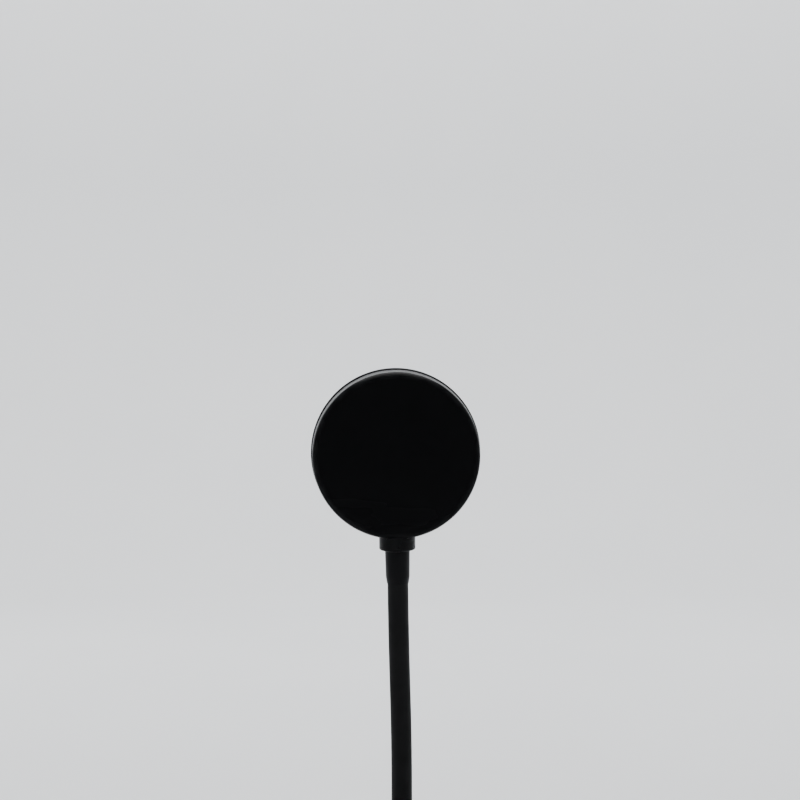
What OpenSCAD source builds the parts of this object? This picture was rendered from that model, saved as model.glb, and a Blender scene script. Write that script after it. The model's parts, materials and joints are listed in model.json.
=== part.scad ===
// Desk projection lamp: a round, weighted base, a bendable neck and a drum-shaped head with a
// domed lens. It stands on Z = 0, +Z is up, the lens faces -Y and the inlet faces +Y.
// Millimetres throughout.

/* [Base] */
// Diameter of the base
base_d = 96; // [88:1:120]
// Height of the base's top face over the table
base_h = 18; // [17.5:0.5:22]
// Radius of the base's upper edge
base_edge_r = 3; // [2:0.25:3.5]
// Wall and top thickness of the base's cover
cover_wall = 2.4; // [2:0.1:2.8]
// Height of the cover's lower rim over the table
cover_rim_z = 1.4; // [1.2:0.1:2]
// Height of the bottom plate's underside over the table
plate_z = 1.0; // [0.8:0.1:1.2]
// Thickness of the bottom plate
plate_t = 2.4; // [2:0.1:2.8]
// Thickness of the foam foot pad
pad_t = 1.5; // [1.4:0.1:2]
// Width of the plate's bare border round the foot pad
pad_border = 2.4; // [1.5:0.1:5]
// Thickness of the ballast under the control board
ballast_floor = 3.2; // [2.5:0.1:3.4]
// Full thickness of the ballast beside the control board
ballast_t = 9.6; // [7:0.1:10]
// Diameter of the ballast's middle hole
ballast_eye_d = 27; // [27:0.5:30]
// Distance of the four base screws in from the cover's outer edge
base_screw_inset = 14; // [12:0.5:18]

/* [Button and inlet] */
// Diameter of the power button
button_d = 12; // [9:0.5:14]
// Distance of the button's centre in from the base's edge
button_inset = 18; // [15:0.5:20]
// Height of the button over the base's top face
button_proud = 0.8; // [0.8:0.1:1.5]
// Diameter of the finger dish round the button
dish_d = 22; // [18:0.5:24]
// Depth of the finger dish
dish_depth = 0.6; // [0.3:0.1:0.8]
// Travel of the button
button_travel = 0.8; // [0.3:0.1:0.8]
// Width of the inlet's metal shell
inlet_w = 8.94; // [8.5:0.1:9.4]
// Height of the inlet's metal shell
inlet_h = 3.16; // [3:0.04:3.4]
// Length of the inlet's metal shell
inlet_l = 7.3; // [6.5:0.1:8]
// Width of the control board
board_w = 30; // [26:1:31]
// Thickness of the control board
board_t = 1.6; // [1.2:0.1:1.6]

/* [Neck] */
// Free length of the neck between the two cuffs
neck_length = 110; // [96:1:140]
// Number of bending points along the neck, half fore and aft, half sideways
neck_joints = 12; // [10:2:14]
// Outer diameter of the neck's rubber sleeve
sleeve_d = 10; // [9.6:0.1:10.4]
// Wall of the rubber sleeve
sleeve_wall = 1.0; // [0.8:0.05:1.1]
// Outer diameter of the wound steel core
core_d = 7.6; // [7.2:0.05:7.7]
// Diameter of the ball on each core link
ball_d = 6.2; // [5.8:0.05:6.4]
// Bore of the core for the lead
core_bore = 3.4; // [3.2:0.1:3.6]
// Diameter of the lead in the neck
lead_d = 2.6; // [2:0.1:2.6]
// Sharpest bend at one point of the neck
link_bend = 15; // [8:1:16]
// Sideways slant of the neck half way up, as it stands
neck_sway = 1.2; // [0:0.1:4]
// Backward tilt of the head, as it stands
head_tilt = 6; // [0:0.5:10]
// Sideways slant of the head, as it stands
head_lean = 0.8; // [0:0.1:4]
// Turn of the head about the neck, as it stands
head_turn = 1.5; // [-4:0.5:4]

/* [Neck ends] */
// Diameter of the round collars at both ends of the neck
collar_d = 17.5; // [15:0.1:17.8]
// Height of the collar on the base
collar_h = 4.5; // [4.4:0.1:7]
// Drop of the head's collar below the drum
collar_drop = 6; // [5:0.1:7]
// Length of a cuff's tapered part
cuff_l = 13.2; // [10:0.2:18]
// Length of a cuff's mouth cone
cuff_mouth_l = 3.2; // [1.5:0.1:4]
// Diameter of a cuff at its collar
cuff_d = 12; // [11.8:0.1:13]
// Diameter of a cuff where its mouth cone starts
cuff_neck_d = 11.5; // [11.2:0.1:11.8]
// Outer diameter of the steel ferrule crimped on the core's end
ferrule_d = 9.4; // [8.6:0.1:9.5]
// Diameter of a collar's threaded stem
stem_d = 8; // [7:0.5:9]
// Width of the stem nuts across their flats
nut_af = 12; // [11:0.2:12.6]

/* [Head] */
// Diameter of the drum at its back
head_d = 80; // [76:1:92]
// Growth of the drum's radius from back to front
head_draft = 0.5; // [0.2:0.1:1]
// Depth of the drum with its bezel
head_depth = 19; // [18.4:0.2:24]
// Radius of the drum's back edge
head_edge_r = 3; // [1.5:0.25:3.5]
// Wall of the drum
shell_wall = 2.0; // [1.6:0.1:2.1]
// Thickness of the drum's back
shell_back = 2.2; // [2:0.1:2.4]
// Depth of the bezel's lip
lip_depth = 3.0; // [2.6:0.1:3.4]
// Overhang of the bezel's lip past the drum
lip_proud = 0.55; // [0.2:0.05:1]
// Diameter of the lens with its flange
lens_d = 54; // [50:0.5:56]
// Thickness of the lens's flange
lens_flange_t = 2.2; // [1.8:0.1:2.4]
// Width of the lens's flange round the dome
lens_flange_w = 2; // [1.8:0.1:2.6]
// Height of the lens's dome over its flange
lens_rise = 9; // [6:0.5:12]
// Thickness of the colour filter
filter_t = 1.1; // [0.8:0.1:1.2]
// Thickness of the lens gasket
gasket_t = 0.5; // [0.4:0.1:0.6]
// Diameter of the heat sink
sink_d = 62; // [56:1:62]
// Thickness of the heat sink's plate
sink_plate_t = 2.2; // [1.8:0.1:2.6]
// Number of fins behind the heat sink's plate
sink_fins = 24; // [12:1:30]
// Diameter of the round board that carries the light source
led_board_d = 28; // [26:0.5:29]
// Width of the square light source
emitter_w = 12; // [9:0.5:12.5]

/* [Hidden] */
$fn = 96;

// Clearances
fit = 0.1;
slide_gap = 0.2;
seat_gap = 0.05;
sleeve_gap = 0.2;
lead_gap = 0.4;

function two_digits(k) = str(k < 10 ? "0" : "", k);
function core_name(k) = str("neck_core_", two_digits(k));
function sleeve_name(k) = str("neck_sleeve_", two_digits(k));

// Colours
black_plastic = "#1c1c1e";
black_metal = "#17171a";
black_rubber = "#141414";
steel = "#a8abb0";
cast_iron = "#55565a";
circuit_green = "#1d5a3a";

// Base, from the table up
cover_in_d = base_d - 2 * cover_wall;
cover_in_z = base_h - cover_wall;
plate_d = cover_in_d - 2 * slide_gap;
plate_top = plate_z + plate_t;
pad_d = plate_d - 2 * pad_border;
ballast_d = cover_in_d - 1.2;
ballast_top = plate_top + ballast_t;
ballast_floor_top = plate_top + ballast_floor;
ballast_channel_w = board_w + 4;

// Screws: head diameter, head height, shank diameter
screw_large = [5.5, 1.5, 2.9];
screw_small = [4, 1.3, 2];
screw_tiny = [3.8, 1.2, 2];
base_screw_r = base_d / 2 - base_screw_inset;
base_screw_l = 8;
screw_cup_d = screw_large[0] + 2.5;
screw_cup_top = plate_top + 1.2;
screw_seat_z = pad_t + screw_large[1];
post_d = screw_cup_d - 1;
post_clear_d = screw_cup_d + 0.4;
post_shoulder_d = post_clear_d + 1.6;

// Button over its switch: the switch's body, the plunger and the button's flange in a stack
flange_gap = 0.1;
flange_t = 1.1;
flange_w = 1.2;
plunger_d = 3.4;
plunger_l = 2.2;
switch_w = 6;
switch_h = 3.5;
button_y = -base_d / 2 + button_inset;
dish_ball_r = (dish_d * dish_d / 4 + dish_depth * dish_depth) / (2 * dish_depth);
button_under_z = cover_in_z - flange_gap - flange_t;
switch_top = button_under_z - button_travel - fit;
board_top = switch_top - switch_h;
board_under = board_top - board_t;

// Control board
board_front = button_y - 8;
board_rear = sqrt(pow(cover_in_d / 2, 2) - pow(board_w / 2, 2)) - 2.5;
board_tongue_w = inlet_w + 3;
board_tongue_rear = sqrt(pow(cover_in_d / 2, 2) - pow(board_tongue_w / 2, 2)) - 0.4;
board_eye_d = 18;
board_post_d = 5.5;
board_post_x = board_w / 2 - 3.2;
board_post_y = 21;
board_screw_l = 4.6;

// Parts on the control board: centre along X and Y, width, length and height
chip_sunk = 0.1;
driver_chip = [4 - board_w / 2, -11.5, 4, 5, 1];
supply_chip = [board_w / 2 - 4.5, 14, 5, 4, 1.2];
port_chip = [-4, 26.5, 4, 3, 1];
port_resistor = [3.5, 25.8, 3, 1.6, 0.8];
supply_coil_y = 32;
supply_coil_d = 6;
supply_coil_h = 2.8;

// Inlet in the rear wall
inlet_z = board_under - inlet_h / 2;
inlet_recess = 1.2;
inlet_gap = 0.3;
inlet_cut_l = 4;
plug_room_w = 2;
plug_room_h = 1.8;
inlet_face_y = base_d / 2 - inlet_recess;
inlet_shell_t = 0.3;

// Neck ends, the same at both ends: places along the neck are counted from the collar's face
cuff_total = cuff_l + cuff_mouth_l;
cuff_bore = sleeve_d + fit;
ferrule_in = 4;
ferrule_out = 6;
ferrule_bore = core_d + fit;
stem_bore = 5;
sleeve_start = ferrule_out + slide_gap;
washer_t = 1;
washer_d = nut_af + 3;
base_nut_t = 4;
head_nut_t = 3.2;

// Neck: every link points a little further over than the one below it
pitch = neck_length / neck_joints;
neck_foot_z = base_h + collar_h + cuff_total;
function rise(k) = (1 - cos(180 * k / neck_joints)) / 2;
function sway(k) = neck_sway * pow(sin(180 * k / neck_joints), 2) + head_lean * rise(k);
function tilt(k) = head_tilt * rise(k);
function along(k) = [cos(tilt(k)) * sin(sway(k)), sin(tilt(k)), cos(tilt(k)) * cos(sway(k))];
function pivot(k) = k == 0
    ? [0, 0, neck_foot_z - pitch / 2]
    : pivot(k - 1) + pitch * along(k - 1);

// Ball and cup of a core link
ball_r = ball_d / 2;
cup_r = ball_r + fit;
cup_skirt = 1;
cup_edge_r = norm([core_d / 2, cup_skirt]);
cup_edge_drop = cup_edge_r * sin(atan(2 * cup_skirt / core_d) + link_bend);
shoulder_drop = cup_edge_drop + 0.4;
cup_top = cup_r + 0.7;
wire_pitch = 1.8;
wire_groove_r = 0.45;
tail_l = cuff_total - pitch / 2 + ferrule_in - slide_gap;

// Head, from its back to its front: places are counted from the middle of the drum's depth
back_z = -head_depth / 2;
front_z = head_depth / 2;
cavity_z = back_z + shell_back;
rim_z = front_z - lip_depth;
head_centre_rise = head_d / 2 + collar_drop;
function shell_r(z) = head_d / 2 + head_draft * (z - back_z - head_edge_r)
    / (rim_z - back_z - head_edge_r);
function cavity_r(z) = shell_r(z) - shell_wall;
lip_r = shell_r(rim_z) + lip_proud;

// Lens stack behind the bezel's inner lip
lens_r = lens_d / 2;
dome_r = lens_r - lens_flange_w;
dome_ball_r = (dome_r * dome_r + lens_rise * lens_rise) / (2 * lens_rise);
lens_lip_t = 1.6;
gasket_z = front_z - lens_lip_t - gasket_t;
lens_z = gasket_z - lens_flange_t;
lens_seat_r = lens_r + slide_gap;
lens_lip_r = dome_r + 0.6;
clamp_t = 2.3;
clamp_z = lens_z - clamp_t;
clamp_in_r = dome_r - 1;
filter_r = dome_r + 0.5;
filter_z = lens_z - slide_gap - filter_t;
lens_sleeve_r = lens_seat_r + 2;

// Light source on its heat sink, level with the neck's axis
sink_face_z = -lead_d / 2 - slide_gap;
sink_back_z = sink_face_z - sink_plate_t;
sink_fin_t = 1.2;
sink_hub_r = 12;
sink_screw_r = 25;
sink_post_d = 7;
sink_screw_l = 7;
led_board_t = 1.6;
led_face_z = sink_face_z + led_board_t;
led_screw_x = led_board_d / 2 - 3;
led_screw_l = 4.2;
emitter_t = 0.9;
shroud_wall = 1.6;
shroud_back_r = led_board_d / 2 + 1.5;
shroud_front_r = clamp_in_r - 0.2;

// Neck fitting inside the drum
nut_seat_y = -head_d / 2 + 3.5;
stem_top_y = nut_seat_y + head_nut_t + 0.8;
nut_pad_w = nut_af + 4;

// Solid of revolution with a rounded upper edge, from z = low to z = high
module rounded_disc(d, low, high, edge) {
    translate([0, 0, low]) rotate_extrude() {
        square([d / 2 - edge, high - low]);
        square([d / 2, high - low - edge]);
        translate([d / 2 - edge, high - low - edge]) circle(edge);
    }
}

// Straight tube from z = low to z = high
module tube(d, bore, low, high) {
    translate([0, 0, low]) difference() {
        cylinder(d = d, h = high - low);
        translate([0, 0, -1]) cylinder(d = bore, h = high - low + 2);
    }
}

// Hexagonal nut with its flats across X, from z = low to z = high
module nut(af, bore, low, high) {
    translate([0, 0, low]) difference() {
        rotate(90) cylinder(d = af / cos(30), h = high - low, $fn = 6);
        translate([0, 0, -1]) cylinder(d = bore, h = high - low + 2);
    }
}

// Screw with a round head: the head's underside is at z = 0 and the shank points up
module screw(kind, l) {
    translate([0, 0, -kind[1]]) difference() {
        rounded_head(kind);
        cube_cross(kind[0] * 0.5, kind[1] * 0.9);
    }
    translate([0, 0, -0.01]) cylinder(d = kind[2], h = l - 0.6);
    translate([0, 0, l - 0.62]) cylinder(d1 = kind[2], d2 = kind[2] * 0.5, h = 0.62);
}

// Screw head with a rounded outer edge
module rounded_head(kind) {
    mirror([0, 0, 1]) translate([0, 0, -kind[1]]) rounded_disc(kind[0], 0, kind[1], 0.5);
}

// Cross recess of a screw head
module cube_cross(w, depth) {
    for (a = [0, 90]) rotate(a) cube([w, w * 0.22, depth], center = true);
}

// Block with two round ends, along X, from z = low to z = high
module slot_block(w, h, low, high) {
    translate([0, 0, low]) linear_extrude(high - low) {
        square([w - h, h], center = true);
        for (x = [-1, 1]) translate([x * (w - h) / 2, 0]) circle(d = h);
    }
}

// Places of the four base screws and of the four board screws
module at_base_screws() {
    for (a = [45:90:315]) rotate(a) translate([base_screw_r, 0, 0]) children();
}

module at_board_screws() {
    for (x = [-1, 1], y = [-1, 1])
        translate([x * board_post_x, y * board_post_y, 0]) children();
}

// Foam disc in the plate's recess: the face that the lamp stands on
module foot_pad() color(black_rubber) cylinder(d = pad_d, h = pad_t);

module base_plate() color(black_plastic) difference() {
    union() {
        translate([0, 0, plate_z]) cylinder(d = plate_d, h = plate_t);
        at_base_screws() cylinder(d = screw_cup_d, h = screw_cup_top);
    }
    translate([0, 0, -1]) cylinder(d = pad_d + 2 * slide_gap, h = pad_t + 1);
    at_base_screws() {
        cylinder(d = screw_large[0] + 0.6, h = screw_seat_z);
        cylinder(d = screw_large[2] + 0.5, h = screw_cup_top + 1);
    }
}

module base_screws() color(steel)
    at_base_screws() translate([0, 0, screw_seat_z]) screw(screw_large, base_screw_l);

// Cast weight with a channel for the control board, held on the cover's four posts
module ballast() color(cast_iron) difference() {
    translate([0, 0, plate_top]) cylinder(d = ballast_d, h = ballast_t);
    translate([-ballast_channel_w / 2, -base_d, ballast_floor_top])
        cube([ballast_channel_w, 2 * base_d, ballast_t]);
    translate([0, 0, plate_top - 1]) cylinder(d = ballast_eye_d, h = ballast_t + 2);
    at_base_screws() cylinder(d = post_clear_d, h = ballast_top + 1);
    inlet_room_y = inlet_face_y - inlet_l - 1;
    translate([-inlet_w / 2 - 1.5, inlet_room_y, plate_top - 1])
        cube([inlet_w + 3, base_d, ballast_t + 2]);
}

module base_cover() color(black_plastic) difference() {
    union() {
        difference() {
            rounded_disc(base_d, cover_rim_z, base_h, base_edge_r);
            rounded_disc(cover_in_d, cover_rim_z - 1, cover_in_z, base_edge_r * 0.4);
        }
        at_base_screws() {
            translate([0, 0, screw_cup_top])
                cylinder(d = post_d, h = cover_in_z - screw_cup_top + 1);
            translate([0, 0, ballast_top + fit])
                cylinder(d = post_shoulder_d, h = cover_in_z - ballast_top - fit + 1);
        }
        at_board_screws() translate([0, 0, board_top])
            cylinder(d = board_post_d, h = cover_in_z - board_top + 1);
    }
    cylinder(d = stem_d + 2 * fit, h = base_h + 1);
    translate([0, button_y, 0]) cylinder(d = button_d + 2 * slide_gap, h = base_h + 1);
    translate([0, button_y, base_h - dish_depth + dish_ball_r]) sphere(dish_ball_r);
    at_base_screws() cylinder(d = screw_large[2] + fit, h = screw_seat_z + base_screw_l + 0.5);
    at_board_screws() cylinder(d = screw_small[2] + fit, h = board_under + board_screw_l + 0.4);
    translate([0, 0, inlet_z]) rotate([-90, 0, 0]) {
        slot_block(
            inlet_w + 2 * inlet_gap,
            inlet_h + 2 * inlet_gap,
            cover_in_d / 2 - inlet_cut_l,
            base_d
        );
        slot_block(inlet_w + 2 * plug_room_w, inlet_h + 2 * plug_room_h, inlet_face_y, base_d);
    }
}

// Board with its supply chips, and a round eye that the neck's stem passes
module control_board() color(circuit_green) difference() {
    union() {
        translate([-board_w / 2, board_front, board_under])
            cube([board_w, board_rear - board_front, board_t]);
        translate([-board_tongue_w / 2, 0, board_under])
            cube([board_tongue_w, board_tongue_rear, board_t]);
        for (part = [driver_chip, supply_chip, port_chip, port_resistor]) on_board(part);
        translate([0, supply_coil_y, board_top - chip_sunk])
            cylinder(d = supply_coil_d, h = supply_coil_h + chip_sunk);
    }
    translate([0, 0, board_under - 1]) cylinder(d = board_eye_d, h = board_t + 2);
    at_board_screws() cylinder(d = screw_small[2] + 0.4, h = board_top + 1);
}

// Small block on the control board
module on_board(part) {
    translate([part[0] - part[2] / 2, part[1] - part[3] / 2, board_top - chip_sunk])
        cube([part[2], part[3], part[4] + chip_sunk]);
}

module board_screws() color(steel)
    at_board_screws() translate([0, 0, board_under]) screw(screw_small, board_screw_l);

// Metal shell with its contact tongue, under the board's rear tongue, mouth to the rear
module usb_socket() color(steel)
    translate([0, inlet_face_y, inlet_z]) rotate([90, 0, 0]) {
        difference() {
            slot_block(inlet_w, inlet_h, 0, inlet_l);
            slot_block(inlet_w - 2 * inlet_shell_t, inlet_h - 2 * inlet_shell_t, -1, inlet_l - 1);
        }
        translate([-(inlet_w - 2.4) / 2, -0.35, 0.6]) cube([inlet_w - 2.4, 0.7, inlet_l - 1]);
    }

module tact_switch() color(black_plastic) translate([0, button_y, 0]) difference() {
    translate([-switch_w / 2, -switch_w / 2, board_top]) cube([switch_w, switch_w, switch_h]);
    translate([0, 0, button_under_z - plunger_l - button_travel - slide_gap])
        cylinder(d = plunger_d + 2 * fit, h = switch_h);
}

// Plunger between the switch and the button: it moves with the button
module switch_plunger() color("#2a2a2c")
    translate([0, button_y, button_under_z - plunger_l]) cylinder(d = plunger_d, h = plunger_l);

// Push button with a dished top and a flange that stops it under the cover
module power_button() color("#232325") translate([0, button_y, 0]) difference() {
    top = base_h + button_proud;
    dish_r = button_d * 1.4;
    union() {
        rounded_disc(button_d, button_under_z, top, 0.6);
        translate([0, 0, button_under_z]) cylinder(d = button_d + 2 * flange_w, h = flange_t);
    }
    translate([0, 0, top + dish_r - 0.4]) sphere(dish_r);
}

// Round collar on the base, its threaded stem through the cover and a socket for the ferrule
module base_collar() color(black_metal) difference() {
    union() {
        rounded_disc(collar_d, base_h, base_h + collar_h, 0.8);
        translate([0, 0, cover_in_z - washer_t - base_nut_t - 1])
            cylinder(d = stem_d, h = cover_wall + washer_t + base_nut_t + 2);
    }
    translate([0, 0, base_h + collar_h - ferrule_in])
        cylinder(d = ferrule_d + fit, h = ferrule_in + 1);
    cylinder(d = stem_bore, h = base_h + collar_h);
}

module base_washer() color(steel)
    tube(washer_d, stem_d + 4 * fit, cover_in_z - washer_t, cover_in_z);

module base_nut() color(steel)
    nut(nut_af, stem_d + fit, cover_in_z - washer_t - base_nut_t, cover_in_z - washer_t);

// Frame of one core link: its lower pivot is the origin and its upper one is at z = pitch
module on_link(k) {
    translate(pivot(k)) rotate([-tilt(k), sway(k), 0]) children();
}

// Frames of the two neck ends: the collar's face is z = 0 and the neck leaves towards +Z
module at_base_end() translate([0, 0, base_h + collar_h]) children();

module at_head_end() on_link(neck_joints)
    translate([0, 0, pitch / 2 + cuff_total]) rotate([180, 0, 0]) children();

// Frame of the drum: its centre is the origin, the light goes towards +Z and +Y is up
module in_head() on_link(neck_joints)
    translate([0, 0, pitch / 2 + cuff_total + head_centre_rise])
        rotate([90, 0, 0]) rotate([0, head_turn, 0]) children();

// Tapered end cuff with a cone at its mouth, over the ferrule and the sleeve's end
module cuff() difference() {
    union() {
        cylinder(d1 = cuff_d, d2 = cuff_neck_d, h = cuff_l);
        translate([0, 0, cuff_l])
            cylinder(d1 = cuff_neck_d, d2 = cuff_bore + 0.4, h = cuff_mouth_l);
    }
    translate([0, 0, -1]) cylinder(d = cuff_bore, h = cuff_total + 2);
}

// Crimped steel ferrule: one end in the collar, the other round the core
module ferrule() tube(ferrule_d, ferrule_bore, -ferrule_in, ferrule_out);

module base_cuff() color(black_plastic) at_base_end() cuff();
module head_cuff() color(black_plastic) at_head_end() cuff();
module base_ferrule() color(steel) at_base_end() ferrule();
module head_ferrule() color(steel) at_head_end() ferrule();

// One link of the neck's core. It stands for a few turns of the wound steel: the cup at its
// lower end sits on the ball of the link below. The first has a plain tail in place of a cup
// and the last in place of a ball, and both tails end in their ferrules.
module neck_core(k) color(steel) on_link(k) {
    low = k == 0 ? pitch - tail_l - pitch : -cup_skirt;
    high = k == neck_joints ? pitch + tail_l : pitch - shoulder_drop;
    first_groove = k == 0 ? low + wire_pitch : cup_top;
    difference() {
        union() {
            translate([0, 0, low]) cylinder(d = core_d, h = high - low);
            if (k < neck_joints) core_ball();
        }
        if (k > 0) sphere(cup_r);
        translate([0, 0, low - 1]) cylinder(d = core_bore, h = high - low + pitch);
        for (z = [first_groove:wire_pitch:high - wire_pitch / 2])
            translate([0, 0, z]) rotate_extrude()
                translate([core_d / 2 + 0.1, 0]) circle(wire_groove_r);
        if (k < neck_joints) translate([0, 0, pitch + ball_r * 0.3])
            cylinder(d1 = core_bore, d2 = core_bore + 1, h = ball_r * 0.55);
    }
}

// Ball on a short neck at a link's upper pivot
module core_ball() {
    translate([0, 0, pitch]) sphere(ball_r);
    translate([0, 0, pitch - shoulder_drop - 0.1])
        cylinder(r = ball_r * 0.73, h = shoulder_drop);
}

// Stretch of the rubber sleeve round one core link, with the stretch of lead inside it
module neck_sleeve(k) color(black_rubber) on_link(k) {
    first = k == 0;
    last = k == neck_joints;
    end_z = pitch / 2 + cuff_total;
    tube(
        sleeve_d,
        sleeve_d - 2 * sleeve_wall,
        first ? pitch - end_z + sleeve_start : sleeve_gap / 2,
        last ? end_z - sleeve_start : pitch - sleeve_gap / 2
    );
    lead_low = first ? pitch - end_z - ferrule_in : lead_gap / 2;
    lead_high = last ? end_z + ferrule_in : pitch - lead_gap / 2;
    translate([0, 0, lead_low]) cylinder(d = lead_d, h = lead_high - lead_low);
}

// Lead from the neck down through the stem and up to the control board's underside
module base_lead() color(black_rubber) {
    bend_r = 3;
    run_z = plate_top + lead_d / 2 + 0.3;
    turn_z = run_z + bend_r;
    rise_y = ballast_eye_d / 2 - lead_d / 2 - 1.2;
    translate([0, 0, turn_z])
        cylinder(d = lead_d, h = base_h + collar_h - ferrule_in - turn_z);
    translate([0, bend_r, turn_z]) rotate([0, 90, 0]) lead_bend(bend_r, 270);
    translate([0, bend_r, run_z]) rotate([-90, 0, 0])
        cylinder(d = lead_d, h = rise_y - 2 * bend_r);
    translate([0, rise_y - bend_r, turn_z]) rotate([0, 90, 0]) lead_bend(bend_r, 0);
    translate([0, rise_y, turn_z]) cylinder(d = lead_d, h = board_under - turn_z);
}

// Quarter turn of the lead about Z, from the angle start
module lead_bend(r, start) {
    rotate(start) rotate_extrude(angle = 90) translate([r, 0]) circle(d = lead_d);
}

// Cylinder along the drum's up axis, from y = low to y = high
module upright(d, low, high) {
    translate([0, low, 0]) rotate([-90, 0, 0]) cylinder(d = d, h = high - low);
}

// Outer form of the drum up to its rim, grown by a gap
module drum_form(gap) rotate_extrude() {
    edge_x = shell_r(back_z + head_edge_r) - head_edge_r;
    edge_y = back_z + head_edge_r;
    polygon([
        [0, back_z - gap],
        [edge_x, back_z - gap],
        [edge_x, edge_y],
        [shell_r(edge_y) + gap, edge_y],
        [shell_r(rim_z) + gap, rim_z],
        [0, rim_z]
    ]);
    translate([edge_x, edge_y]) circle(head_edge_r + gap);
}

module at_sink_screws() {
    for (a = [90, 210, 330]) rotate(a) translate([sink_screw_r, 0, 0]) children();
}

// Drum with a round hole for the neck's stem, a flat seat for its nut and three posts
module head_shell() color(black_metal) in_head() difference() {
    union() {
        difference() {
            drum_form(0);
            translate([0, 0, cavity_z]) cylinder(
                r1 = cavity_r(cavity_z),
                r2 = cavity_r(rim_z + 1),
                h = rim_z + 1 - cavity_z
            );
        }
        translate([-nut_pad_w / 2, nut_seat_y - 2, cavity_z - 1])
            cube([nut_pad_w, 2, rim_z - 0.5 - cavity_z + 1]);
        at_sink_screws() translate([0, 0, cavity_z - 1])
            cylinder(d = sink_post_d, h = sink_back_z - cavity_z + 1);
    }
    upright(stem_d + 2 * fit, -head_d, nut_seat_y + 1);
    at_sink_screws() translate([0, 0, sink_face_z - sink_screw_l - 0.1])
        cylinder(d = screw_large[2] + fit, h = sink_screw_l);
}

// Round collar under the drum, saddled to it, with its threaded stem
module head_collar() color(black_metal) in_head() difference() {
    union() {
        difference() {
            translate([0, -head_centre_rise, 0]) rotate([-90, 0, 0]) collar_body();
            drum_form(seat_gap);
            translate([0, 0, rim_z - slide_gap]) cylinder(r = lip_r + slide_gap, h = collar_d);
        }
        upright(stem_d, -head_d / 2 - 1.5, stem_top_y);
    }
    upright(ferrule_d + fit, -head_centre_rise - 1, -head_centre_rise + ferrule_in);
    upright(stem_bore, -head_centre_rise, 0);
}

// Collar with a rounded lower edge, long enough to reach into the drum
module collar_body() {
    l = collar_drop + 4;
    translate([0, 0, l]) mirror([0, 0, 1]) rounded_disc(collar_d, 0, l, 0.8);
}

module head_nut() color(steel) in_head() rotate([-90, 0, 0]) rotate(90)
    nut(nut_af, stem_d + fit, nut_seat_y, nut_seat_y + head_nut_t);

// Aluminium plate with radial fins between it and the drum's back
module heat_sink() color("#b9bcc0") in_head() difference() {
    union() {
        translate([0, 0, sink_back_z]) cylinder(d = sink_d, h = sink_plate_t);
        translate([0, 0, cavity_z]) cylinder(r = sink_hub_r, h = sink_back_z - cavity_z + 0.1);
        for (i = [0:sink_fins - 1]) rotate(i * 360 / sink_fins)
            translate([sink_hub_r - 1, -sink_fin_t / 2, cavity_z])
                cube([sink_d / 2 - sink_hub_r, sink_fin_t, sink_back_z - cavity_z + 0.1]);
    }
    at_sink_screws() {
        translate([0, 0, cavity_z - 1])
            cylinder(d = sink_post_d + 2 * slide_gap, h = sink_back_z - cavity_z + 1);
        translate([0, 0, sink_back_z - 1])
            cylinder(d = screw_large[2] + 0.5, h = sink_plate_t + 2);
    }
    for (x = [-led_screw_x, led_screw_x])
        translate([x, 0, led_face_z - led_screw_l - 0.2])
            cylinder(d = screw_tiny[2] + fit, h = led_screw_l);
}

module heat_sink_screws() color(steel) in_head()
    at_sink_screws() translate([0, 0, sink_face_z]) rotate([180, 0, 0])
        screw(screw_large, sink_screw_l);

// Round metal-core board of the light source
module led_board() color("#e8e8e4") in_head() difference() {
    translate([0, 0, sink_face_z]) cylinder(d = led_board_d, h = led_board_t);
    for (x = [-led_screw_x, led_screw_x])
        translate([x, 0, sink_face_z - 1])
            cylinder(d = screw_tiny[2] + 0.4, h = led_board_t + 2);
}

module led_screws() color(steel) in_head()
    for (x = [-led_screw_x, led_screw_x])
        translate([x, 0, led_face_z]) rotate([180, 0, 0]) screw(screw_tiny, led_screw_l);

// Square light source with its round, raised phosphor field
module led_emitter() color("#e7c94b") in_head() {
    translate([-emitter_w / 2, -emitter_w / 2, led_face_z]) cube([emitter_w, emitter_w, emitter_t]);
    translate([0, 0, led_face_z + emitter_t - 0.01]) cylinder(d = emitter_w * 0.75, h = 0.25);
}

// Black funnel between the heat sink and the lens clamp, slotted for the lead
module light_shroud() color(black_plastic) in_head() difference() {
    depth = clamp_z - sink_face_z;
    translate([0, 0, sink_face_z]) rotate_extrude() polygon([
        [shroud_back_r, 0],
        [shroud_back_r + shroud_wall + 1, 0],
        [shroud_back_r + shroud_wall + 1, 0.8],
        [shroud_front_r + shroud_wall, depth],
        [shroud_front_r, depth],
        [shroud_back_r, 0.8]
    ]);
    translate([-lead_d / 2 - 0.4, -clamp_in_r, sink_face_z - 1])
        cube([lead_d + 0.8, clamp_in_r, lead_d + slide_gap * 2 + 1]);
}

// Retaining ring: it presses the lens forward and holds the filter in its rebate
module lens_clamp() color(black_metal) in_head() difference() {
    translate([0, 0, clamp_z]) cylinder(r = lens_seat_r - fit, h = clamp_t);
    translate([0, 0, clamp_z - 1]) cylinder(r = clamp_in_r, h = clamp_t + 2);
    translate([0, 0, filter_z]) cylinder(r = filter_r + fit, h = clamp_t);
    for (a = [0, 180]) rotate(a)
        translate([clamp_in_r + shroud_wall, -1.5, clamp_z - 1]) cube([lens_r, 3, 1.8]);
}

module filter_disc() color("#ff8a3c", 0.6) in_head()
    translate([0, 0, filter_z]) cylinder(r = filter_r, h = filter_t);

// Glass lens: flat at the back, a round dome in front of its flange
module lens() color("#dfe9ee", 0.5) in_head() rotate_extrude() {
    translate([0, lens_z]) square([lens_r, lens_flange_t]);
    intersection() {
        translate([0, gasket_z + lens_rise - dome_ball_r]) circle(dome_ball_r);
        translate([0, gasket_z - 0.1]) square([dome_r, lens_rise + 1]);
    }
}

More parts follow.
